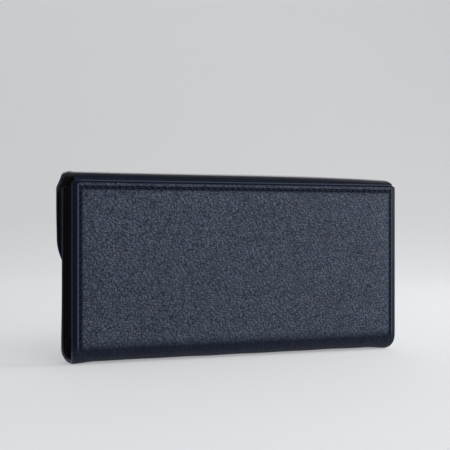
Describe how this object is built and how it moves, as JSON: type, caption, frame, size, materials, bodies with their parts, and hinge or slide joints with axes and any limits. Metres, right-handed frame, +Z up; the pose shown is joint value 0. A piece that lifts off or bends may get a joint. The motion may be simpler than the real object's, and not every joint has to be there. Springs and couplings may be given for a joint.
{
  "type": "long wallet",
  "caption": "Long leather wallet: flap over a roofed mouth, folded end gussets, note compartments, card slots and a zipped coin pocket.",
  "frame": {"origin": "centre of the bounding box's base, under the bottom fold", "axes": "+X along the wallet's length towards the closed end of the zip, +Y out of the back panel, -Y out of the flap, +Z up"},
  "size_m": [0.19, 0.03, 0.0986],
  "materials": {
    "outer_leather": "pebble grain, satin",
    "lining": "matt twill",
    "gusset_leather": "smooth, satin",
    "board": "bonded leather fibre board, matt",
    "thread": "waxed thread",
    "pocket_leather": "smooth, satin",
    "zip_tape": "woven tape",
    "zip_metal": "nickel plate",
    "stud_metal": "dark nickel plate"
  },
  "bodies": {
    "back": {"back_cover": "outer_leather", "bottom_fold": "outer_leather", "back_board": "board", "back_lining": "lining", "bottom_lining": "lining", "flap_tongue": "outer_leather", "back_stitching": "thread", "right_gusset": "gusset_leather", "left_gusset": "gusset_leather", "card_slot_rear": "pocket_leather", "card_slot_middle": "pocket_leather", "card_slot_front": "pocket_leather"},
    "front": {"front_cover": "outer_leather", "front_board": "board", "front_lining": "lining", "front_stitching": "thread", "slip_pocket": "pocket_leather", "snap_stud": "stud_metal", "snap_post": "stud_metal"},
    "roof": {"flap_roof": "outer_leather", "roof_lining": "lining"},
    "flap": {"flap_cover": "outer_leather", "flap_stiffener": "board", "flap_lining": "lining", "flap_stitching": "thread", "snap_cap": "stud_metal", "snap_socket": "stud_metal"},
    "coin_pocket": {"coin_pocket_rear_wall": "lining", "coin_pocket_front_wall": "lining", "coin_pocket_edges": "lining", "zip_tape_rear": "zip_tape", "zip_tape_front": "zip_tape", "zip_teeth_rear": "zip_metal", "zip_teeth_front": "zip_metal", "zip_stops": "zip_metal"},
    "slider": {"zip_slider": "zip_metal"},
    "pull": {"zip_pull": "zip_metal"}
  },
  "joints": [
    {"name": "flap_back_fold", "type": "hinge", "parent": "back", "child": "roof", "pos_m": [0, 0.014, 0.0942], "axis": [-1, 0, 0], "range_deg": [0, 100]},
    {"name": "flap_front_fold", "type": "hinge", "parent": "roof", "child": "flap", "pos_m": [0, -0.0094, 0.0945], "axis": [-1, 0, 0], "range_deg": [0, 90]},
    {"name": "front_spread", "type": "hinge", "parent": "back", "child": "front", "pos_m": [0, -0.007, 0.01], "axis": [1, 0, 0], "range_deg": [0, 15], "deforming": ["right_gusset", "left_gusset"]},
    {"name": "pocket_spread", "type": "hinge", "parent": "back", "child": "coin_pocket", "pos_m": [0, 0.0036, 0.012], "axis": [1, 0, 0], "range_deg": [0, 7.5]},
    {"name": "zip_slide", "type": "slide", "parent": "coin_pocket", "child": "slider", "axis": [-1, 0, 0], "range_m": [0, 0.132]},
    {"name": "pull_swing", "type": "hinge", "parent": "slider", "child": "pull", "pos_m": [0.066, 0.0036, 0.0727], "axis": [0, 1, 0], "range_deg": [0, 180]}
  ],
  "couplings": [
    {"joint": "flap_front_fold", "follows": "flap_back_fold", "ratio": 0.9},
    {"joint": "front_spread", "follows": "flap_back_fold", "ratio": 0.15},
    {"joint": "pocket_spread", "follows": "flap_back_fold", "ratio": 0.075}
  ]
}
